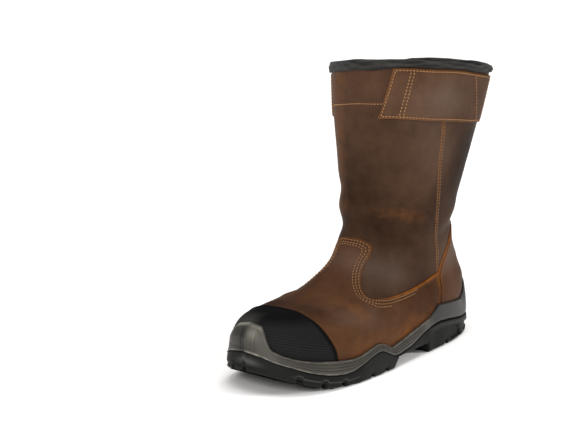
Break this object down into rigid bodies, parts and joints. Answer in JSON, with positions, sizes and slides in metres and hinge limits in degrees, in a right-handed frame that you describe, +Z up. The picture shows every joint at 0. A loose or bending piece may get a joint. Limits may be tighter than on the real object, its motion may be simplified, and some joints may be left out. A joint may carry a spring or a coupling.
{
  "type": "work boot",
  "caption": "Pull-on leather work boot for the left foot: hollow flared shaft, capped toe, bound collar, side pull tabs, and a cupped midsole on a lugged outsole.",
  "frame": {"origin": "on the floor, under the middle of the boot's box", "axes": "+Z up, toe along -Y, heel along +Y, outer side of the left boot along +X"},
  "size_m": [0.1398, 0.3342, 0.2871],
  "materials": {
    "outsole_rubber": "matt",
    "midsole_foam": "satin",
    "insole_textile": "matt",
    "shaft_leather": "oiled",
    "vamp_leather": "oiled",
    "counter_leather": "oiled",
    "toe_cap_rubber": "textured",
    "tab_leather": "oiled",
    "binding_textile": "matt"
  },
  "bodies": {
    "root": {"outsole": "outsole_rubber", "midsole": "midsole_foam", "insole": "insole_textile", "upper": "shaft_leather", "vamp": "vamp_leather", "heel_counter": "counter_leather", "toe_cap": "toe_cap_rubber", "pull_tab_lateral": "tab_leather", "pull_tab_medial": "tab_leather", "collar_binding": "binding_textile"}
  },
  "joints": []
}
